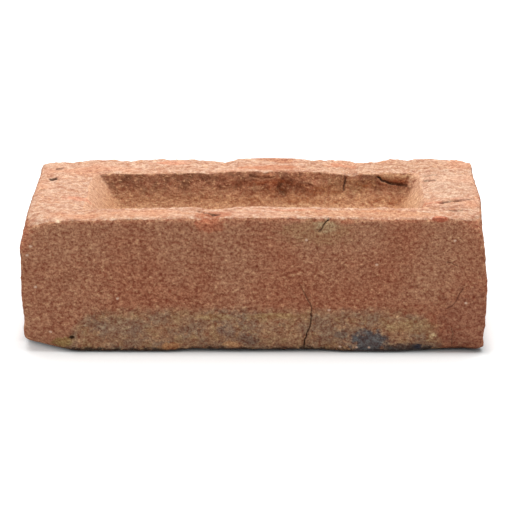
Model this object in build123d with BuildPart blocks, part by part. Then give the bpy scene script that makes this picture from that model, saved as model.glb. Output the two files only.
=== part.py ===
"""Frogged facing brick, soft-mud moulded and fired as one piece.

Millimetres, +Z up. The origin is the middle of the lower bed. +X runs along the
length and -Y is the facing stretcher side. The frog opens upwards.
"""

import os
from math import radians, tan

from build123d import *

# Block, as it leaves the mould
brick_length = 215.0
brick_width = 102.5
brick_height = 65.0
mould_draft = 0.6
arris_radius = 2.4

# Struck face: how far it lies under the full height, at even stations from left to right
front_rim_dips = (3.0, 1.5, 0.8, 0.2, 0.4, 0.9, 2.8)
back_rim_dips = (2.0, 1.0, 1.0, 0.0, 1.2, 0.5, 1.5)
striker_overhang = 10.0

# Frog: its floor, and how far each wall leans out from there to the full height
frog_depth = 17.0
frog_floor_length = 137.0
frog_floor_width = 39.0
frog_floor_shift = (2.0, -2.5)
frog_left_lean = 13.0
frog_right_lean = 9.0
frog_side_lean = 10.0
frog_corner_radius = 7.0
frog_floor_radius = 7.0
frog_rim_radius = 2.4

# Worn corners: reach along the length, across the width and down or up the height
front_left_wear = (14.0, 14.0, 8.0)
front_right_wear = (13.0, 12.0, 9.0)
back_right_wear = (12.0, 17.0, 6.0)
foot_left_wear = (26.0, 18.0, 6.5)
foot_right_wear = (5.0, 6.0, 4.0)
foot_back_wear = (6.0, 5.0, 4.5)

# Torn bites in the front rim: place along the length, width of the bite and its depth
arris_tear = (-22.5, 15.0, 3.0)
frog_tear = (-17.5, 15.0, 2.6)

# Drying crack in the facing side: (sideways, up) points from its foot, and its gap there
crack_foot = 23.6
crack_depth = 4.0
crack_gap = 0.7
crack_points = ((0.0, 0.0), (0.2, 5.8), (1.6, 11.1), (3.2, 16.4), (3.9, 19.5), (3.2, 23.0), (2.8, 27.4))

draft_slope = tan(radians(mould_draft))
floor_height = brick_height - frog_depth
front_arris_y = brick_height * draft_slope - brick_width / 2
frog_front_y = frog_floor_shift[1] - frog_floor_width / 2 - frog_side_lean


def draw_striker(dips):
    """Outline of the striker over one side of the mould: waves below, flat on top."""
    span = brick_length + 2 * striker_overhang
    last = len(dips) - 1
    wave = [(span * (i / last - 0.5), brick_height - dip) for i, dip in enumerate(dips)]
    top = brick_height + 2 * striker_overhang
    Spline(*wave)
    Polyline(wave[-1], (wave[-1][0], top), (wave[0][0], top), wave[0])


def frog_wall(side_x, side_y, lean):
    """Plane of one frog wall, through the edge of the floor and facing out of the frog."""
    foot = Vector(
        frog_floor_shift[0] + side_x * frog_floor_length / 2,
        frog_floor_shift[1] + side_y * frog_floor_width / 2,
        floor_height,
    )
    outward = Vector(side_x * frog_depth, side_y * frog_depth, -lean)
    return Plane(origin=foot, x_dir=(-side_y, side_x, 0), z_dir=outward)


def worn_plane(side_x, side_y, upper, wear):
    """Plane that knocks one corner off the block, facing out of it."""
    along, across, updown = wear
    inset = brick_height * draft_slope if upper else 0.0
    corner = Vector(side_x * (brick_length / 2 - inset), side_y * (brick_width / 2 - inset), 0)
    if upper:
        corner += Vector(0, 0, brick_height)
        updown = -updown
    first = corner - Vector(side_x * along, 0, 0)
    second = corner - Vector(0, side_y * across, 0)
    third = corner + Vector(0, 0, updown)
    outward = (second - first).cross(third - first)
    if outward.dot(corner - first) < 0:
        outward = -outward
    return Plane(origin=first, x_dir=second - first, z_dir=outward)


def draw_crack():
    """Crack as a wedge that closes towards its tip."""
    tip = crack_points[-1][1]
    left_lip = []
    right_lip = []
    for across, up in crack_points:
        half_gap = crack_gap / 2 * (1 - up / tip)
        left_lip.append((crack_foot + across - half_gap, up))
        right_lip.append((crack_foot + across + half_gap, up))
    Polyline(*left_lip, *right_lip[-2::-1], close=True)


def bite(edge_y, open_side, tear):
    """Scoop torn at 45 degrees out of an upper edge that runs along the length."""
    place, width, depth = tear
    radius = (width**2 / 4 + depth**2) / (2 * depth)
    lift = (radius - depth) / 2**0.5
    with Locations((place, edge_y + open_side * lift, brick_height + lift)):
        Sphere(radius, mode=Mode.SUBTRACT)


with BuildPart() as frog:
    with BuildSketch(Plane.XY.offset(floor_height)):
        Rectangle(brick_length, brick_width)
    extrude(amount=frog_depth + striker_overhang)
    for side_x, side_y, lean in (
        (-1, 0, frog_left_lean),
        (1, 0, frog_right_lean),
        (0, -1, frog_side_lean),
        (0, 1, frog_side_lean),
    ):
        split(bisect_by=frog_wall(side_x, side_y, lean), keep=Keep.BOTTOM)
    corner_edges = frog.edges().filter_by(lambda e: abs((e @ 1 - e @ 0).Z) > frog_depth)
    fillet(corner_edges, frog_corner_radius)
    fillet(frog.faces().sort_by(Axis.Z)[0].edges(), frog_floor_radius)

with BuildPart() as brick:
    # Block, drawn tall for the striker to level
    with BuildSketch():
        Rectangle(brick_length, brick_width)
    extrude(amount=brick_height + striker_overhang, taper=mould_draft)

    # Struck face, with gentle waves along the length
    strikers = []
    for side, dips in ((1, front_rim_dips), (-1, back_rim_dips)):
        with BuildSketch(Plane.XZ.offset(side * (brick_width / 2 + striker_overhang))) as striker:
            with BuildLine():
                draw_striker(dips)
            make_face()
        strikers.append(striker.sketch)
    loft(strikers, mode=Mode.SUBTRACT)
    fillet(brick.edges(), arris_radius)

    # Frog with its rolled rim
    add(frog.part, mode=Mode.SUBTRACT)
    struck_face = brick.faces().filter_by(lambda f: f.inner_wires())[0]
    fillet(struck_face.inner_wires()[0].edges(), frog_rim_radius)

    # Corners worn off in handling
    for side_x, side_y, upper, wear in (
        (-1, -1, True, front_left_wear),
        (1, -1, True, front_right_wear),
        (1, 1, True, back_right_wear),
        (-1, -1, False, foot_left_wear),
        (1, -1, False, foot_right_wear),
        (-1, 1, False, foot_back_wear),
        (1, 1, False, foot_back_wear),
    ):
        split(bisect_by=worn_plane(side_x, side_y, upper, wear), keep=Keep.BOTTOM)

    # Bites torn out of the front arris and the rim of the frog behind it
    bite(front_arris_y, -1, arris_tear)
    bite(frog_front_y, 1, frog_tear)

    # Drying crack, widest at the bed
    with BuildSketch(Plane.XZ.offset(brick_width / 2)):
        with BuildLine():
            draw_crack()
        make_face()
    extrude(amount=-crack_depth, mode=Mode.SUBTRACT)

brick.part.label = "brick"
os.makedirs("parts", exist_ok=True)
export_step(brick.part, "parts/brick.step")
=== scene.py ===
"""Looks of the frogged facing brick: its clay relief, kiln colours, studio and camera.

Relief is worked out in millimetres and written back in metres, in the frame of the
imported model: +X along the length, -Y the facing stretcher side, +Z up.
"""

import itertools
import math

import bpy
import numpy as np
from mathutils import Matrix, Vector


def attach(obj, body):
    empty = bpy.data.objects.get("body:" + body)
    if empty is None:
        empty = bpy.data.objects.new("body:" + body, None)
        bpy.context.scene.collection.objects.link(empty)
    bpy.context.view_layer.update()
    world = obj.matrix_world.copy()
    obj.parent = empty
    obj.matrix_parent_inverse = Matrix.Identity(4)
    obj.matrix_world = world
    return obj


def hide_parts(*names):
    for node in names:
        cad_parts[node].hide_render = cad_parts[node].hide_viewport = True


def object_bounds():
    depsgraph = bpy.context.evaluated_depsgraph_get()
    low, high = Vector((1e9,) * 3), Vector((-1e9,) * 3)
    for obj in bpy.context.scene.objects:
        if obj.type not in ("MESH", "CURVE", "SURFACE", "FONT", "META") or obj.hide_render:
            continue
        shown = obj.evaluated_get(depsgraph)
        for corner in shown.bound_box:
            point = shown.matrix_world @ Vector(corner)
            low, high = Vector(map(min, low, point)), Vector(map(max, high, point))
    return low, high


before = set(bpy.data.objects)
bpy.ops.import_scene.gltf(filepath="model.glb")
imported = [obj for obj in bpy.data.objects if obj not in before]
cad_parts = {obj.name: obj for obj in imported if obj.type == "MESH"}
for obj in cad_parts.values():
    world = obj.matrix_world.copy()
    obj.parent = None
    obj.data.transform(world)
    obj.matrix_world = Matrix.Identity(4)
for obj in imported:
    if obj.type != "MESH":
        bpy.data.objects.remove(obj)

cad_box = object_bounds()
MM = 0.001

# Mesh: size of the even faces that take the relief, how many faces are left after thinning,
# and how far the relief is kept inside the CAD box at its sides and top
VOXEL = 0.5
FACE_BUDGET = 194000
INSIDE = 0.03

# Smoothing, as strength and rounds: of the steps between the even faces, and of worn places
EVENING = (0.5, 6)
WEARING = (0.8, 80)

# Facing side and struck face: their places across the width and up the height
FACING_Y = -51.0
TOP_Z = 65.0

# Frog mouth in plan, for telling its walls from the struck face
MOUTH_CENTRE = (0.0, -2.5)
MOUTH_HALF = (79.5, 29.5)

# Left front foot, worn off in plan: its reach along the length and across the width
WORN_FOOT = (26.0, 18.0)

# Ends of the block: (height, how far the end stands out from the moulded face there), then where
# along the length that starts and the length that it grows over
LEFT_END = (
    (0.0, 0.5), (6.0, 0.3), (14.0, -0.6), (24.0, 0.1), (36.0, 0.3), (44.0, -0.1), (50.0, 0.5),
    (57.0, -1.0), (65.0, -2.4),
)
RIGHT_END = (
    (0.0, -1.7), (3.0, -1.9), (7.0, -1.8), (12.0, -0.8), (22.0, -0.2), (34.0, 0.1), (46.0, -1.3),
    (57.0, -2.3), (65.0, -2.4),
)
END_STARTS = 80.0
END_REACH = 27.0

# Back rim of the struck face: (place along it, how far it stands over the moulded wave there)
BACK_RIM = (
    (-107.0, -0.6), (-90.0, -0.7), (-78.0, 0.8), (-66.0, -0.1), (-58.0, 0.0), (-46.0, 1.1), (-30.0, 0.5),
    (-15.0, -2.0), (-7.0, 0.1), (10.0, 1.6), (23.0, 0.6), (29.0, -0.2), (41.0, 0.5), (48.0, -0.8),
    (59.0, -0.2), (68.0, 0.7), (80.0, 0.5), (86.0, 1.7), (96.0, 0.0), (101.0, 1.4), (107.0, 2.6),
)

# Lower front arris: (place along it, how far it lifts off the floor, how far it is tucked in)
FRONT_FOOT = (
    (-106.0, 0.2, 0.0), (-40.0, 0.0, 0.0), (-28.0, 0.6, 1.8), (-10.0, 0.4, 0.8), (30.0, 0.5, 1.6),
    (42.0, 0.1, 0.0), (66.0, 0.2, 0.0), (82.0, 0.4, 2.2), (98.0, 0.5, 3.0), (107.0, 0.3, 2.0),
)

# Worn corners and torn places, rounded further than the rest: place and reach
WORN_CORNERS = (
    ((-106.0, -50.0, 63.0), 15.0),
    ((106.0, -50.0, 62.0), 12.0),
    ((106.0, 50.0, 63.0), 6.0),
    ((-106.0, 50.0, 63.0), 4.0),
    ((-106.0, -50.0, 2.0), 24.0),
    ((-106.0, 50.0, 1.0), 9.0),
    ((106.0, 50.0, 1.0), 9.0),
    ((-22.5, -49.9, 64.0), 8.0),
    ((-17.5, -32.0, 64.0), 9.0),
)

# Bumps (+) and dents (-): place, reach (x, y, z) and height
BUMPS_AND_DENTS = (
    ((-80.0, -2.5, TOP_Z), (6.0, 32.0, 8.0), -1.6),
    ((80.0, -2.5, TOP_Z), (5.0, 32.0, 8.0), -1.2),
    ((20.0, 26.0, 63.0), (13.0, 5.0, 5.0), 2.2),
    ((88.0, -4.0, 64.5), (5.0, 1.0, 3.0), -0.8),
    ((95.0, -19.0, 64.5), (6.5, 1.1, 3.0), -0.9),
    ((99.0, 6.0, 64.5), (4.5, 1.0, 3.0), -0.7),
    ((78.0, -22.0, 64.5), (7.0, 1.1, 3.0), -0.7),
    ((-97.6, 18.3, 63.0), (2.2, 2.4, 3.5), -2.6),
    ((-25.4, -37.7, 64.0), (1.3, 0.9, 3.0), -1.2),
    ((9.0, 44.0, TOP_Z), (14.0, 8.0, 6.0), 0.6),
    ((-20.2, -45.6, 63.5), (3.4, 0.9, 3.0), -1.5),
    ((-18.4, -43.6, 64.5), (3.8, 1.0, 3.0), 1.0),
    ((85.0, 23.2, 64.5), (2.2, 0.9, 3.0), -0.8),
    ((83.9, 14.7, 64.5), (2.2, 0.9, 3.0), -0.8),
    ((-84.4, -50.5, 7.1), (1.3, 3.0, 1.0), -1.3),
    ((34.4, FACING_Y, 2.2), (2.4, 3.0, 2.0), -1.6),
    ((75.6, FACING_Y, 2.0), (2.4, 3.0, 1.6), -1.2),
    ((47.0, 25.5, 60.5), (3.0, 4.0, 4.0), -0.8),
    ((12.0, 25.0, 61.0), (9.0, 5.0, 2.6), 1.8),
    ((27.0, 23.0, 57.5), (10.0, 5.0, 3.0), 1.3),
    ((-6.0, 25.0, 61.5), (8.0, 5.0, 2.4), 1.4),
    ((70.0, 25.0, 62.0), (10.0, 4.0, 1.8), 1.3),
    ((64.0, 22.5, 58.0), (8.0, 4.0, 1.6), -0.7),
    ((105.5, -49.5, 1.5), (4.5, 5.0, 4.5), 1.3),
)

# Cracks: points in (x, z), or on top in (x, y), then half gap, groove depth at the start, share of that
# depth left at the end, and darkness of the painted shade in the gap
FACE_CRACKS = (
    (
        (
            (22.8, -2.0), (23.3, 4.7), (24.2, 9.1), (26.0, 15.0), (26.4, 19.4), (26.0, 22.8), (22.2, 30.6),
            (20.8, 33.5),
        ),
        0.34, 1.6, 0.12, 0.95,
    ),
    (((33.8, 64.5), (31.1, 60.8), (29.3, 58.2)), 0.42, 1.4, 0.4, 0.8),
    (((87.4, 44.2), (90.0, 43.6), (92.8, 42.4)), 0.26, 0.5, 0.5, 0.5),
    (((95.4, 31.7), (93.4, 26.6), (90.8, 22.9), (87.0, 21.4)), 0.26, 0.6, 0.5, 0.5),
    (((91.1, 13.0), (91.6, 7.0), (91.2, -1.0)), 0.24, 0.4, 0.8, 0.45),
)
WALL_CRACKS = (
    (((43.9, 67.0), (43.7, 60.8), (43.1, 56.5)), 0.42, 1.8, 0.6, 0.85),
    (((59.2, 62.6), (62.0, 60.9), (66.3, 59.8), (74.0, 59.2)), 0.55, 1.8, 0.35, 0.85),
    (((-3.1, 62.9), (2.7, 61.4), (9.3, 61.6)), 1.3, 1.3, 0.7, 0.3),
    (((13.0, 60.2), (11.6, 57.4), (15.1, 54.5)), 1.4, 1.3, 0.7, 0.3),
)
TOP_CRACKS = (
    (((-26.5, -37.5), (-21.9, -42.7), (-18.4, -44.7), (-15.5, -45.4)), 0.6, 1.6, 0.7, 0.75),
    (((86.5, -22.0), (92.7, -19.0), (97.9, -16.5), (103.0, -15.0)), 1.0, 1.4, 0.6, 0.45),
    (((88.0, -35.0), (91.4, -34.4), (96.0, -34.2)), 0.9, 1.0, 0.6, 0.4),
    (((81.4, 14.8), (84.4, 15.6), (87.6, 15.2)), 1.0, 1.2, 0.6, 0.45),
    (((82.0, 22.8), (85.0, 23.6), (88.4, 23.2)), 1.0, 1.2, 0.6, 0.45),
    (((-98.4, 37.4), (-94.6, 38.0)), 1.0, 0.9, 0.6, 0.45),
    (((-102.8, -0.6), (-99.3, -1.4)), 1.2, 0.9, 0.6, 0.4),
)

# How far cracks wander off their points, the lumps of that, and the reach of the groove beside them
CRACK_WANDER = 0.55
CRACK_WANDER_SIZE = 2.6
GROOVE_REACH = 0.62


def step(low, high, value):
    """0 at low, 1 at high and smooth between, in either order."""
    t = np.clip((value - low) / (high - low), 0.0, 1.0)
    return t * t * (3.0 - 2.0 * t)


def lattice_gradients(cells, seed):
    """Three pseudo-random numbers from -1 to 1 for each lattice cell."""
    x, y, z = (cells[:, axis].astype(np.uint32) for axis in range(3))
    mixed = x * np.uint32(0x8DA6B343) ^ y * np.uint32(0xD8163841) ^ z * np.uint32(0xCB1AB31F)
    mixed ^= np.uint32((seed * 0x9E3779B1) & 0xFFFFFFFF)
    for shift, factor in ((15, 0x2C1B3C6D), (12, 0x297A2D39), (15, 0x85EBCA6B)):
        mixed ^= mixed >> np.uint32(shift)
        mixed *= np.uint32(factor)
    mixed ^= mixed >> np.uint32(16)
    parts = [(mixed >> np.uint32(shift)) & np.uint32(1023) for shift in (0, 10, 20)]
    return np.stack(parts, axis=1) / 511.5 - 1.0


def noise(points, wavelength, seed):
    """Smooth noise of about -1 to 1. wavelength is one number, or one for each axis."""
    scaled = points / np.asarray(wavelength) + 500.0
    cells = np.floor(scaled)
    inside = scaled - cells
    fade = inside**3 * (inside * (inside * 6.0 - 15.0) + 10.0)
    total = np.zeros(len(points))
    for corner in itertools.product((0.0, 1.0), repeat=3):
        weight = np.prod(np.where(np.array(corner) > 0, fade, 1.0 - fade), axis=1)
        total += weight * ((inside - corner) * lattice_gradients(cells + corner, seed)).sum(axis=1)
    return total * 1.5


def layered(points, wavelength, octaves, seed):
    """Noise with finer and weaker noise on top of it."""
    wavelength = np.asarray(wavelength, float)
    return sum(0.55**k * noise(points, wavelength / 2.1**k, seed + 17 * k) for k in range(octaves))


def along_polyline(flat, polyline):
    """(signed distance to the line, share of the way along it, past its ends too) for each 2-D point."""
    signed = np.full(len(flat), 1e9)
    share = np.zeros(len(flat))
    ends = [np.array(p) for p in polyline]
    lengths = [np.linalg.norm(b - a) for a, b in zip(ends, ends[1:])]
    done = 0.0
    for a, b, length in zip(ends, ends[1:], lengths):
        way = (b - a) / length
        along = (flat - a) @ way
        across = (flat - a) @ np.array((-way[1], way[0]))
        kept = np.clip(along, 0.0, length)
        distance = np.hypot(across, along - kept)
        closer = distance < abs(signed)
        signed = np.where(closer, np.copysign(distance, across), signed)
        share = np.where(closer, (done + along) / sum(lengths), share)
        done += length
    return signed, share


def even_mesh(node, voxel):
    """The CAD node's shape as a mesh of small even faces."""
    copy = bpy.data.objects.new("even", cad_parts[node].data.copy())
    bpy.context.scene.collection.objects.link(copy)
    remesh = copy.modifiers.new("even", "REMESH")
    remesh.mode = "VOXEL"
    remesh.voxel_size = voxel * MM
    mesh = bpy.data.meshes.new_from_object(copy.evaluated_get(bpy.context.evaluated_depsgraph_get()))
    bpy.data.objects.remove(copy)
    return mesh


def read_points(mesh):
    points = np.empty(len(mesh.vertices) * 3)
    mesh.vertices.foreach_get("co", points)
    return points.reshape(-1, 3) / MM


def write_points(mesh, points):
    mesh.vertices.foreach_set("co", (points * MM).ravel())
    mesh.update()


def read_normals(mesh):
    normals = np.empty(len(mesh.vertices) * 3)
    mesh.vertices.foreach_get("normal", normals)
    return normals.reshape(-1, 3)


def relax(points, edges, strength, rounds):
    """Draws each point towards the mean of its neighbours, by its own strength."""
    count = len(points)
    first, second = edges[:, 0], edges[:, 1]
    neighbours = np.bincount(edges.ravel(), minlength=count)[:, None]
    for _ in range(rounds):
        total = np.empty_like(points)
        for axis in range(3):
            from_second = np.bincount(first, points[second, axis], count)
            from_first = np.bincount(second, points[first, axis], count)
            total[:, axis] = from_second + from_first
        points = points + strength[:, None] * (total / neighbours - points)
    return points


def bow(points):
    """The block with its ends bellied, and its rims and lower front arris uneven, from when it was wet."""
    x, y, z = points.T
    upper = step(30.0, 40.0, z)
    left = np.interp(z, *zip(*LEFT_END)) * np.clip((-x - END_STARTS) / END_REACH, 0.0, 1.0)
    left *= 1.0 - upper * (0.3 * step(-40.0, -5.0, y) + 0.6 * step(28.0, 50.0, y))
    right = np.interp(z, *zip(*RIGHT_END)) * np.clip((x - END_STARTS) / END_REACH, 0.0, 1.0)
    right *= 1.0 - upper * step(-40.0, -5.0, y)

    near_top = step(50.0, 62.0, z)
    rim = np.interp(x, *zip(*BACK_RIM)) * step(27.0, 40.0, y) * near_top
    front_rim = 0.45 * step(100.0, 80.0, abs(x)) + 0.9 * step(76.0, 86.0, x) * step(107.0, 100.0, x)
    rim += front_rim * step(-38.0, -46.0, y) * near_top

    places, lifts, tucks = zip(*FRONT_FOOT)
    foot = np.interp(x, places, lifts) * step(-30.0, -45.0, y) * step(12.0, 0.0, z)
    tuck = np.interp(x, places, tucks) * step(-40.0, -50.0, y) * step(8.0, 0.0, z)
    return points + np.stack([right - left, tuck, rim + foot], axis=1)


def zones(points, normals):
    """Share of each kind of surface at each point, read from the smooth shape."""
    x, y, z = points.T
    endward = abs(normals[:, 0])
    upward = normals[:, 2]
    past_end = abs(x - MOUTH_CENTRE[0]) - MOUTH_HALF[0]
    past_wall = abs(y - MOUTH_CENTRE[1]) - MOUTH_HALF[1]
    past_mouth = np.maximum(past_end, past_wall) + 1.2 * noise(points, (13.0, 13.0, 30.0), 61)
    frog = step(1.2, -1.6, past_mouth) * step(47.0, 48.0, z)
    rim = step(7.0, 3.5, past_mouth)
    struck = np.maximum(step(0.6, 0.9, upward), rim) * step(56.0, 60.0, z) * (1.0 - frog)
    bed = step(-0.5, -0.9, upward) * step(4.0, 1.0, z)
    side = np.clip(1.0 - frog - struck - bed, 0.0, 1.0)

    # The struck face's colour is laid over the others, so inside is the frog's share of what is left
    inside = frog / np.maximum(1.0 - struck, 0.001)
    # slope and lip make the ramp: the frog's sloping ends and upturned lip, which its colour paints pale as
    # lit from above
    slope = np.where(x < 0.0, step(0.25, 0.55, endward), step(0.68, 0.86, endward))
    lip = step(0.72, 0.9, upward + 0.22 * step(0.3, 0.5, endward)) * step(57.0, 60.0, z)
    ramp = inside * np.maximum(slope, lip)
    return {"struck": struck, "frog": frog, "inside": inside, "ramp": ramp, "bed": bed, "side": side}


def relief(points, normals, zone):
    """Height of the clay's own relief above the smooth shape, in mm."""
    x, y, z = points.T
    height = 0.30 * noise(points, 70.0, 1) + 0.16 * layered(points, 24.0, 2, 2)

    wrinkles = -abs(noise(points, (8.0, 8.0, 2.6), 11)) - 0.8 * abs(noise(points, (4.6, 4.6, 1.8), 12))
    sanded = 0.24 * wrinkles + 0.22 * layered(points, 3.8, 3, 13)
    ragged = -1.3 * step(0.0, 0.6, noise(points, (5.5, 5.5, 4.0), 14)) * step(3.2, 0.0, z)
    height += zone["side"] * (sanded + ragged)

    rougher = 1.0 + 0.5 * step(-10.0, 50.0, x)
    torn = 0.34 * layered(points, (9.0, 4.0, 5.0), 3, 21) + 0.34 * layered(points, (3.4, 2.6, 2.6), 2, 22)
    lumps = 0.42 * layered(points, (12.0, 8.0, 9.0), 2, 23)
    height += zone["struck"] * (torn * rougher + lumps)

    lumpy = step(-25.0, 10.0, x) * step(5.0, 15.0, y) * (1.0 - zone["ramp"])
    walls = 0.26 * layered(points, (6.0, 4.0, 4.0), 3, 31) + 0.20 * layered(points, 2.4, 2, 32)
    walls += lumpy * 0.9 * layered(points, (13.0, 8.0, 6.0), 3, 33)
    height += zone["frog"] * (1.0 - 0.6 * zone["ramp"]) * walls

    for place, reach, size in BUMPS_AND_DENTS:
        away = (((points - place) / reach) ** 2).sum(axis=1)
        height += size * np.exp(-away)
    dragged = -0.3 * step(0.0, 0.5, noise(points, (22.0, 9.0, 9.0), 41))
    return height * (1.0 - zone["bed"]) + zone["bed"] * dragged


def cracks(points, zone):
    """(groove depth, signed distance to the crack over its half gap, how dark the painted shade in the crack
    is here).
    """
    depth = np.zeros(len(points))
    cleft = np.full(len(points), 9.0)
    crack_shade_here = np.zeros(len(points))
    drift = np.stack([noise(points, CRACK_WANDER_SIZE, 51 + k) for k in range(3)], axis=1)
    wander = points + CRACK_WANDER * drift
    on_face = step(-48.5, -49.5, points[:, 1])
    on_wall = zone["frog"] * step(12.0, 15.0, points[:, 1])
    groups = ((FACE_CRACKS, on_face, 2), (WALL_CRACKS, on_wall, 2), (TOP_CRACKS, zone["struck"], 1))
    for group, where, up in groups:
        for polyline, half_gap, deep, last, dark in group:
            signed, share = along_polyline(wander[:, [0, up]], polyline)
            narrow = 1.0 + (last - 1.0) * np.clip(share, 0.0, 1.0)
            within = where * step(1.05, 0.95, share) * step(-0.05, 0.05, share)
            groove = np.exp(-((signed / GROOVE_REACH) ** 2))
            depth = np.maximum(depth, within * deep * narrow * groove)
            near = (abs(signed) < 2.0) & (within > 0.0)
            cleft = np.where(near, signed / half_gap, cleft)
            # How dark the painted shade in the crack's gap is
            crack_shade_here = np.where(near, within * dark * narrow**0.5, crack_shade_here)
    return depth, cleft, crack_shade_here


def clay_piece(node):
    """The brick with its relief, standing in for its CAD node."""
    mesh = even_mesh(node, VOXEL)
    points = read_points(mesh)
    edges = np.empty(len(mesh.edges) * 2, np.int32)
    mesh.edges.foreach_get("vertices", edges)
    edges = edges.reshape(-1, 2)

    worn = np.zeros(len(points))
    for place, reach in WORN_CORNERS:
        worn = np.maximum(worn, step(1.0, 0.5, np.linalg.norm(points - place, axis=1) / reach))
    strength, rounds = EVENING
    points = relax(points, edges, np.full(len(points), strength), rounds)
    strength, rounds = WEARING
    points = bow(relax(points, edges, strength * worn, rounds))
    write_points(mesh, points)
    normals = read_normals(mesh)

    zone = zones(points, normals)
    depth, cleft, crack_shade_here = cracks(points, zone)
    points = points + (relief(points, normals, zone) - depth)[:, None] * normals
    low, high = (np.array(corner) / MM for corner in cad_box)
    write_points(mesh, np.clip(points, low + (INSIDE, INSIDE, 0.0), high - INSIDE))
    kinds = {name: zone[name] for name in ("struck", "inside", "ramp")}
    for name, values in {**kinds, "cleft": cleft, "crack_shade": crack_shade_here}.items():
        mesh.attributes.new(name, "FLOAT", "POINT").data.foreach_set("value", values.astype(np.float32))

    full = bpy.data.objects.new("full", mesh)
    bpy.context.scene.collection.objects.link(full)
    thin = full.modifiers.new("thin", "DECIMATE")
    thin.ratio = FACE_BUDGET / (2 * len(mesh.polygons))
    thinned = bpy.data.meshes.new_from_object(full.evaluated_get(bpy.context.evaluated_depsgraph_get()))
    bpy.data.objects.remove(full)
    thinned.polygons.foreach_set("use_smooth", [True] * len(thinned.polygons))
    piece = bpy.data.objects.new("fired_brick", thinned)
    bpy.context.scene.collection.objects.link(piece)
    return piece


class Shader:
    """Short calls for the nodes of one material or world."""

    def __init__(self, owner):
        self.owner = owner
        owner.use_nodes = True
        self.tree = owner.node_tree
        self.tree.nodes.clear()

    def add(self, kind, inputs=(), **settings):
        """Node with settings, and its inputs by name or number given as values or sockets."""
        node = self.tree.nodes.new("ShaderNode" + kind)
        for key, value in settings.items():
            setattr(node, key, value)
        for key, value in dict(inputs).items():
            self.feed(node.inputs[key], value)
        return node

    def feed(self, socket, value):
        if isinstance(value, bpy.types.NodeSocket):
            self.tree.links.new(value, socket)
        elif isinstance(value, tuple) and len(value) == 3 and socket.type == "RGBA":
            socket.default_value = (*value, 1.0)
        else:
            socket.default_value = value

    def math(self, operation, a, b=0.0):
        return self.add("Math", {0: a, 1: b}, operation=operation).outputs[0]

    def vector(self, operation, a, b=(0.0, 0.0, 0.0)):
        return self.add("VectorMath", {0: a, 1: b}, operation=operation).outputs[0]

    def step(self, value, low, high, top=1.0):
        """0 at low, top at high and smooth between, in either order."""
        node = self.add("MapRange", interpolation_type="SMOOTHSTEP")
        ends = (low, high, 0.0, top) if low < high else (high, low, top, 0.0)
        for number, end in enumerate(ends):
            self.feed(node.inputs[number + 1], end)
        self.feed(node.inputs[0], value)
        return node.outputs[0]

    def spread(self, value, low, high, at_low, at_high):
        """value taken from low..high to at_low..at_high, held at the ends."""
        return self.add("MapRange", {0: value, 1: low, 2: high, 3: at_low, 4: at_high}).outputs[0]

    def mix(self, share, a, b, blend="MIX"):
        """Colour between a and b. Inputs 6 and 7 and output 2 are the colour ones of that node."""
        node = self.add("Mix", {0: share, 6: a, 7: b}, data_type="RGBA", blend_type=blend)
        return node.outputs[2]

    def attribute(self, name):
        return self.add("Attribute", attribute_name=name).outputs["Fac"]


class Clay(Shader):
    """The brick's material, with the places in mm, zones and noises that its colours share."""

    def __init__(self):
        super().__init__(bpy.data.materials.new("fired_clay"))
        self.place = self.vector("MULTIPLY", self.add("TexCoord").outputs["Object"], (1.0 / MM,) * 3)
        self.x, _, self.z = self.add("SeparateXYZ", {0: self.place}).outputs
        self.struck, self.inside, self.ramp = (self.attribute(name) for name in ("struck", "inside", "ramp"))
        self.blotch = self.noise(9.0, 3.0)
        # These two noises also give the bump's height, so the grain colour follows the relief as painted
        # light and shade
        self.grain = self.noise(1.5, 3.0, (1.3, 1.2, 1.0), 0.6)
        self.sand = self.noise(0.8, 1.0)
        self.ragged = self.math("SUBTRACT", self.noise(3.2, 3.0), 0.5)

    def noise(self, size, detail, stretch=(1.0, 1.0, 1.0), rough=0.55):
        """Noise of 0 to 1 with lumps of that size, in mm, drawn out along each axis by stretch."""
        place = self.vector("MULTIPLY", self.place, tuple(1.0 / (size * share) for share in stretch))
        inputs = {"Vector": place, "Scale": 1.0, "Detail": detail, "Roughness": rough}
        return self.add("TexNoise", inputs).outputs[0]

    def distance(self, centre, reach):
        """Distance from the centre, counted in reaches."""
        away = self.vector("DIVIDE", self.vector("SUBTRACT", self.place, centre), reach)
        return self.add("VectorMath", {0: away}, operation="LENGTH").outputs["Value"]

    def roughened(self, value, amount):
        """value with a ragged edge."""
        return self.math("ADD", value, self.math("MULTIPLY", self.ragged, amount))


def srgb(red, green, blue):
    """Linear colour of an 8-bit screen colour."""
    parts = (channel / 255.0 for channel in (red, green, blue))
    return tuple(c / 12.92 if c <= 0.04045 else ((c + 0.055) / 1.055) ** 2.4 for c in parts)


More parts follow.
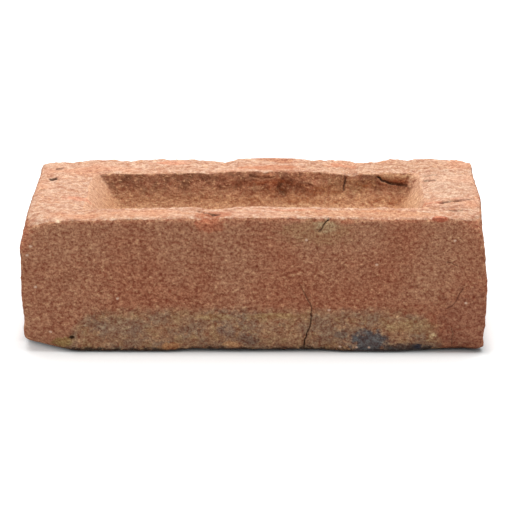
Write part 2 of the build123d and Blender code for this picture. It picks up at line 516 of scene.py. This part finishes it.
# Marks and tints, laid over each other in this order: place, reach (x, y, z), strength and colour
MARKS = (
    ((28.0, FACING_Y, 58.0), (18.0, 5.0, 6.0), 0.55, srgb(190, 142, 102)),
    ((32.0, FACING_Y, 61.0), (6.0, 4.0, 3.2), 0.75, srgb(206, 170, 130)),
    ((42.0, FACING_Y, 63.0), (3.5, 4.0, 1.2), 0.60, srgb(218, 140, 104)),
    ((84.0, -50.0, 64.5), (4.5, 3.0, 1.4), 0.80, srgb(200, 112, 82)),
    ((-20.5, -50.0, 61.5), (7.5, 5.0, 3.4), 0.75, srgb(198, 118, 86)),
    ((-105.5, -50.0, 55.0), (4.0, 6.0, 6.0), 0.55, srgb(208, 132, 100)),
    ((-89.3, FACING_Y, 63.0), (1.8, 2.5, 0.9), 0.90, srgb(248, 216, 182)),
    ((53.0, FACING_Y, 5.4), (9.4, 4.0, 5.8), 0.88, srgb(99, 99, 102)),
    ((68.0, FACING_Y, 1.8), (14.0, 4.0, 2.6), 0.75, srgb(80, 72, 70)),
    ((75.5, FACING_Y, 2.6), (2.2, 4.0, 1.4), 0.85, srgb(64, 62, 74)),
    ((40.0, FACING_Y, 9.0), (3.4, 4.0, 2.2), 0.50, srgb(116, 104, 98)),
    ((-13.0, FACING_Y, 11.0), (4.5, 4.0, 3.0), 0.35, srgb(128, 106, 100)),
    ((-3.0, FACING_Y, 6.0), (5.5, 4.0, 2.6), 0.45, srgb(120, 96, 88)),
    ((-39.0, FACING_Y, 3.0), (5.5, 4.0, 1.8), 0.70, srgb(212, 146, 96)),
    ((-10.4, FACING_Y, 3.8), (4.2, 4.0, 1.8), 0.85, srgb(226, 170, 122)),
    ((-88.0, FACING_Y, 5.0), (5.5, 5.0, 2.6), 0.65, srgb(174, 144, 84)),
    ((-84.4, FACING_Y, 7.1), (1.3, 4.0, 0.9), 0.85, srgb(40, 29, 18)),
    ((82.4, FACING_Y, 8.6), (1.8, 4.0, 1.3), 0.90, srgb(242, 206, 156)),
    ((10.0, FACING_Y, 17.9), (13.0, 4.0, 1.5), 0.45, srgb(204, 162, 108)),
    ((-18.0, FACING_Y, 17.2), (10.0, 4.0, 1.8), 0.45, srgb(204, 160, 108)),
    ((74.0, FACING_Y, 13.0), (12.0, 4.0, 4.0), 0.45, srgb(196, 152, 105)),
    ((-60.0, FACING_Y, 13.0), (14.0, 4.0, 4.5), 0.35, srgb(164, 136, 116)),
    ((-41.5, 41.8, TOP_Z), (10.0, 4.0, 5.0), 0.50, srgb(224, 146, 112)),
    ((8.0, 33.0, TOP_Z), (16.0, 5.0, 5.0), 0.65, srgb(196, 122, 86)),
    ((43.0, 40.0, TOP_Z), (9.0, 3.5, 5.0), 0.45, srgb(224, 132, 96)),
    ((-80.0, -13.5, TOP_Z), (11.0, 4.0, 5.0), 0.55, srgb(220, 144, 114)),
    ((20.8, -37.6, TOP_Z), (22.0, 1.6, 5.0), 0.50, srgb(218, 142, 110)),
    ((58.0, -38.8, TOP_Z), (14.0, 1.5, 5.0), 0.50, srgb(216, 138, 106)),
    ((78.0, -21.5, TOP_Z), (12.0, 2.8, 5.0), 0.50, srgb(206, 124, 92)),
    ((97.0, -15.0, TOP_Z), (7.0, 2.4, 5.0), 0.40, srgb(212, 136, 108)),
    ((-18.0, -45.0, TOP_Z), (9.0, 5.0, 5.0), 0.75, srgb(184, 112, 80)),
    # Painted shade in the hole over its dent on the struck face
    ((-97.6, 18.3, 62.0), (2.5, 2.9, 5.0), 0.90, srgb(61, 39, 28)),
    ((6.0, 25.0, 61.5), (9.0, 6.0, 2.6), 0.55, srgb(192, 124, 88)),
    ((28.0, 25.0, 62.5), (9.0, 6.0, 2.2), 0.45, srgb(192, 130, 96)),
    ((20.0, 22.0, 57.0), (7.0, 6.0, 2.2), 0.20, srgb(120, 76, 54)),
    ((51.0, -42.0, TOP_Z), (42.0, 7.0, 5.0), 0.52, srgb(204, 144, 104)),
    ((62.0, 38.0, TOP_Z), (42.0, 10.0, 5.0), 0.22, srgb(192, 146, 112)),
    ((-58.0, -42.0, TOP_Z), (34.0, 7.0, 5.0), 0.34, srgb(212, 148, 108)),
    # Painted light on the lower frog walls at the right, where they turn up
    ((38.0, 18.0, 51.5), (30.0, 7.0, 3.5), 0.45, srgb(218, 168, 128)),
    ((68.0, 24.0, 62.6), (9.0, 6.0, 1.8), 0.50, srgb(206, 156, 114)),
    ((99.0, FACING_Y, 14.0), (16.0, 4.0, 18.0), 0.60, srgb(172, 113, 88)),
    ((92.0, 6.0, TOP_Z), (14.0, 28.0, 5.0), 0.35, srgb(224, 190, 164)),
    # Painted light on the frog's right sloping end
    ((74.5, -2.0, 57.0), (6.0, 16.0, 8.0), 0.50, srgb(238, 190, 148)),
    ((43.0, 24.0, 58.0), (17.0, 6.0, 4.5), 0.30, srgb(179, 133, 91)),
)

# Pale grits in the facing side, as (x, z), and the reach of each
GRITS = (
    (-101.9, 51.3), (-103.7, 47.0), (-100.3, 31.8), (23.7, 54.6), (55.9, 42.7), (91.2, 54.3), (97.1, 24.4),
    (34.3, 20.9), (-62.8, 26.3), (-94.0, 10.0), (39.5, 2.9), (47.4, 2.6), (53.0, 2.6),
)
GRIT_REACH = (1.1, 4.0, 0.9)

# Gains of red, green and blue in the grain: higher where the clay has less of that colour, so that
# grains differ in light more than in hue
GRAIN_GAINS = (0.9, 1.42, 1.5)


def side_colour(s):
    """Sanded red-brown, redder low down and at the ends, with the kiln band and a dark foot that is partly
    scorched clay and partly painted contact shade.
    """
    low_down = s.spread(s.z, 22.0, 52.0, 0.35, 0.0)
    at_ends = s.spread(s.math("ABSOLUTE", s.x), 84.0, 106.0, 0.0, 0.3)
    in_places = s.spread(s.noise(38.0, 2.0), 0.3, 0.7, -0.5, 0.9)
    redness = s.math("ADD", s.math("ADD", low_down, at_ends), in_places)
    side = s.mix(s.step(redness, 0.0, 1.0), srgb(196, 136, 104), srgb(190, 121, 90))
    side = s.mix(s.step(s.blotch, 0.5, 0.7, 0.35), side, srgb(176, 116, 86))

    # Kiln band along the bottom, ending short of the corners
    band = s.mix(s.step(s.blotch, 0.38, 0.6), srgb(168, 132, 106), srgb(188, 140, 106))
    band = s.mix(s.step(s.noise(4.5, 3.0), 0.52, 0.68, 0.5), band, srgb(184, 148, 104))
    band = s.mix(s.step(s.noise(6.0, 3.0, rough=0.7), 0.56, 0.7, 0.45), band, srgb(134, 108, 94))
    corner = s.math("POWER", s.math("DIVIDE", s.math("ABSOLUTE", s.x), 86.0), 14.0)
    edge = s.math("ADD", s.roughened(s.z, 9.0), s.math("MULTIPLY", corner, 14.0))
    side = s.mix(s.step(edge, 23.5, 17.5, 0.9), side, band)
    # Dark foot along the bottom: partly scorched clay of the lower arris, partly painted contact shade
    return s.mix(s.step(s.roughened(s.z, 5.0), 3.2, 1.0, 0.9), side, srgb(54, 44, 40))


def frog_colour_and_painted_light(s):
    """Walls in darker brown as painted shade inside the frog, yellower and lighter low down as painted light
    where they turn up, between sloping ends painted pale as lit from above.
    """
    # Walls in darker brown than the sides' clay: painted shade inside the frog
    wall = s.mix(s.step(s.noise(5.0, 4.0, rough=0.7), 0.38, 0.62), srgb(130, 84, 60), srgb(172, 115, 86))
    # Lighter and yellower low down: painted light where the walls turn up towards the frog's floor
    wall = s.mix(s.step(s.roughened(s.z, 8.0), 60.0, 51.0), wall, srgb(198, 144, 107))
    # Darker towards the left end
    wall = s.mix(s.spread(s.x, -70.0, 0.0, 0.2, 0.0), wall, srgb(112, 84, 64))
    # Sloping ends and lip painted pale, as lit from above
    slope = s.mix(s.step(s.z, 62.0, 51.0), srgb(218, 168, 136), srgb(208, 156, 118))
    return s.mix(s.ramp, wall, slope)


def struck_colour(s):
    """Pale, torn along the length, pinker in places and pierced by pinholes."""
    streak = s.noise(2.4, 4.0, (1.6, 1.3, 1.3), 0.75)
    pale = s.mix(s.step(streak, 0.36, 0.6), srgb(191, 136, 108), srgb(222, 182, 155))
    crevice = s.step(s.noise(4.0, 3.0, (3.0, 1.0, 1.0)), 0.46, 0.36)
    crevice = s.math("MULTIPLY", crevice, s.spread(s.x, -20.0, 60.0, 0.12, 0.55))
    pale = s.mix(crevice, pale, srgb(168, 110, 82))
    pinker = s.step(s.noise(20.0, 3.0, (1.5, 1.0, 1.0)), 0.48, 0.68, 0.6)
    pale = s.mix(pinker, pale, srgb(216, 154, 122))
    pinholes = s.step(s.noise(1.8, 1.0), 0.27, 0.2, 0.75)
    return s.mix(pinholes, pale, srgb(128, 80, 56))


def add_flecks(s, colour, pale_share):
    """Light flecks and dark pits, with half the pits' strength where the clay is pale."""
    flecks = s.noise(1.2, 1.0, (1.4, 1.2, 1.0))
    colour = s.mix(s.step(flecks, 0.58, 0.72, 0.5), colour, srgb(232, 178, 134))
    pits = s.math("MULTIPLY", s.step(flecks, 0.40, 0.28, 0.35), s.spread(pale_share, 0.0, 1.0, 1.0, 0.5))
    return s.mix(pits, colour, srgb(134, 78, 50))


def add_marks(s, colour):
    """All of MARKS, with ragged edges."""
    for centre, reach, strength, shade in MARKS:
        away = s.roughened(s.distance(centre, reach), 1.5)
        colour = s.mix(s.step(away, 1.15, 0.65, strength), colour, shade)
    return colour


def add_grain_and_painted_light(s, colour, pale_share):
    """Grains of clay and sand, lighter and darker, calmer in the frog and where the clay is pale. They follow
    the bump's own noises, so raised grains are painted lighter and hollows darker: partly clay grain, partly
    painted light and shade.
    """
    calm = s.math("MAXIMUM", pale_share, s.math("MULTIPLY", s.inside, 0.6))
    calm = s.math("MULTIPLY", calm, s.spread(s.x, -20.0, 50.0, 0.36, 0.28))
    contrast = s.math("SUBTRACT", 1.0, calm)
    # Same noises as the bump's height: raised grains get painted light, hollows painted shade
    for value, most in ((s.grain, 0.4), (s.sand, 0.26)):
        light = s.math("MULTIPLY", s.spread(value, 0.3, 0.7, -most, most), contrast)
        red, green, blue = (s.math("ADD", s.math("MULTIPLY", light, gain), 1.0) for gain in GRAIN_GAINS)
        tint = s.add("CombineColor", {0: red, 1: green, 2: blue}).outputs[0]
        colour = s.mix(1.0, colour, tint, "MULTIPLY")
    return colour


def add_grits(s, colour):
    """All of GRITS, with an uneven outline."""
    nearest = 100.0
    for grit_x, grit_z in GRITS:
        nearest = s.math("MINIMUM", s.distance((grit_x, FACING_Y, grit_z), GRIT_REACH), nearest)
    uneven = s.math("MULTIPLY", s.math("SUBTRACT", s.sand, 0.5), 0.9)
    nearest = s.math("ADD", nearest, uneven)
    return s.mix(s.step(nearest, 0.8, 0.35, 0.85), colour, srgb(255, 216, 188))


def add_painted_crack_shade(s, colour):
    """Painted shade in the gaps of the cracks."""
    gap = s.step(s.math("ABSOLUTE", s.attribute("cleft")), 1.3, 0.7)
    # Painted shade in each crack's gap, as dark as its darkness column
    return s.mix(s.math("MULTIPLY", gap, s.attribute("crack_shade")), colour, srgb(48, 30, 22))


def clay_material():
    """Sanded red-brown sides, brown frog and paler struck face, with marks, grain and cracks. The frog's
    brown walls, the crack gaps and part of the dark foot are painted shade; the frog's pale slopes and the
    raised grains carry painted light.
    """
    s = Clay()
    on_top = s.step(s.roughened(s.struck, 1.2), 0.45, 0.7)
    pale_share = s.math("MAXIMUM", on_top, s.ramp)
    colour = s.mix(on_top, s.mix(s.inside, side_colour(s), frog_colour_and_painted_light(s)), struck_colour(s))
    colour = add_flecks(s, colour, pale_share)
    colour = add_marks(s, colour)
    colour = add_grain_and_painted_light(s, colour, pale_share)
    colour = add_grits(s, colour)
    colour = add_painted_crack_shade(s, colour)

    bump_height = s.math("ADD", s.grain, s.math("MULTIPLY", s.sand, 0.3))
    bump_strength = s.spread(pale_share, 0.0, 1.0, 0.85, 0.5)
    bump = s.add("Bump", {"Strength": bump_strength, "Distance": MM, "Height": bump_height})
    look = {"Base Color": colour, "Roughness": 0.95, "Specular IOR Level": 0.2, "Normal": bump.outputs[0]}
    s.add("OutputMaterial", {0: s.add("BsdfPrincipled", look).outputs[0]})
    return s.owner


def seen_directly(s):
    """1 for camera, glossy and transmission rays, else 0."""
    rays = s.add("LightPath").outputs
    either = s.math("MAXIMUM", rays["Is Camera Ray"], rays["Is Glossy Ray"])
    return s.math("MAXIMUM", either, rays["Is Transmission Ray"])


def floor_material():
    """Pale floor that glows a little to the camera, except close to and under the brick's plan, where leaving
    out the glow paints its contact shadow darker.
    """
    s = Shader(bpy.data.materials.new("floor"))
    direct = seen_directly(s)
    diffuse = s.add("BsdfDiffuse", {"Color": s.mix(direct, (0.5, 0.5, 0.5), (0.93, 0.95, 0.95))})

    # How far the floor lies outside the brick's plan, less its worn foot, which sets where the painted
    # contact shadow falls
    x, y, _ = s.add("SeparateXYZ", {0: s.add("TexCoord").outputs["Object"]}).outputs
    past_end = s.math("SUBTRACT", s.math("ABSOLUTE", x), cad_box[1][0])
    past_side = s.math("SUBTRACT", s.math("ABSOLUTE", y), cad_box[1][1])
    along, across = (reach * MM for reach in WORN_FOOT)
    slant = math.hypot(along, across)
    past_foot_x = s.math("MULTIPLY", s.math("SUBTRACT", cad_box[0][0] + along, x), across / slant)
    past_foot_y = s.math("MULTIPLY", s.math("SUBTRACT", cad_box[0][1], y), along / slant)
    past_foot = s.math("ADD", past_foot_x, past_foot_y)
    past_brick = s.math("MAXIMUM", past_foot, s.math("MAXIMUM", past_end, past_side))

    # Painted contact shadow: the glow fades out from 6 mm outside the brick's plan to 3 mm inside it, by
    # place and not by light
    clear = s.step(past_brick, -0.003, 0.006)
    glow = s.add("Emission", {"Strength": s.math("MULTIPLY", s.math("MULTIPLY", direct, clear), 0.3)})
    both = s.add("AddShader", {0: diffuse.outputs[0], 1: glow.outputs[0]})
    s.add("OutputMaterial", {0: both.outputs[0]})
    return s.owner


def floor():
    """Wide flat floor, just under the bed."""
    mesh = bpy.data.meshes.new("floor")
    reach, under = 6.0, -0.0002
    corners = [(-reach, -reach, under), (reach, -reach, under), (reach, reach, under), (-reach, reach, under)]
    mesh.from_pydata(corners, [], [(0, 1, 2, 3)])
    mesh.materials.append(floor_material())
    plane = bpy.data.objects.new("floor", mesh)
    bpy.context.scene.collection.objects.link(plane)


def surroundings():
    """World that is white where it is seen and lights the brick at half of that."""
    s = Shader(bpy.data.worlds.new("studio"))
    strength = s.spread(seen_directly(s), 0.0, 1.0, 0.5, 1.0)
    background = s.add("Background", {"Color": (1.0, 1.0, 1.0), "Strength": strength})
    s.add("OutputWorld", {0: background.outputs[0]})
    bpy.context.scene.world = s.owner


def overhead_lamp():
    """One large soft lamp, above and a little behind the brick."""
    data = bpy.data.lights.new("overhead", "AREA")
    data.shape = "SQUARE"
    data.size = 1.3
    data.energy = 14.0
    lamp = bpy.data.objects.new("overhead", data)
    lamp.location = (0.0, 0.3, 1.1)
    bpy.context.scene.collection.objects.link(lamp)


def camera():
    """The photograph's camera: its distance, height, turn and framing."""
    distance = 1.0
    elevation, azimuth = math.radians(18.2), math.radians(0.33)
    picture_px, focal_px, centre_px = 510.0, 2079.0, (254.95, 251.3)
    aim = Vector((0.0, 0.0, TOP_Z * MM / 2))
    level = math.cos(elevation)
    back = Vector((math.sin(azimuth) * level, -math.cos(azimuth) * level, math.sin(elevation)))
    data = bpy.data.cameras.new("camera")
    data.sensor_width = 36.0
    data.lens = data.sensor_width * focal_px / picture_px
    data.clip_start = 0.05
    data.shift_x = (picture_px / 2 - centre_px[0]) / picture_px
    data.shift_y = (centre_px[1] - picture_px / 2) / picture_px
    shot = bpy.data.objects.new("camera", data)
    shot.location = aim + back * distance
    shot.rotation_mode = "QUATERNION"
    shot.rotation_quaternion = (-back).to_track_quat("-Z", "Y")
    bpy.context.scene.collection.objects.link(shot)
    bpy.context.scene.camera = shot


brick = clay_piece("brick")
brick.data.materials.clear()
brick.data.materials.append(clay_material())
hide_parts("brick")
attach(brick, "root")
floor()
surroundings()
overhead_lamp()
camera()
bpy.context.scene.view_settings.view_transform = "Standard"
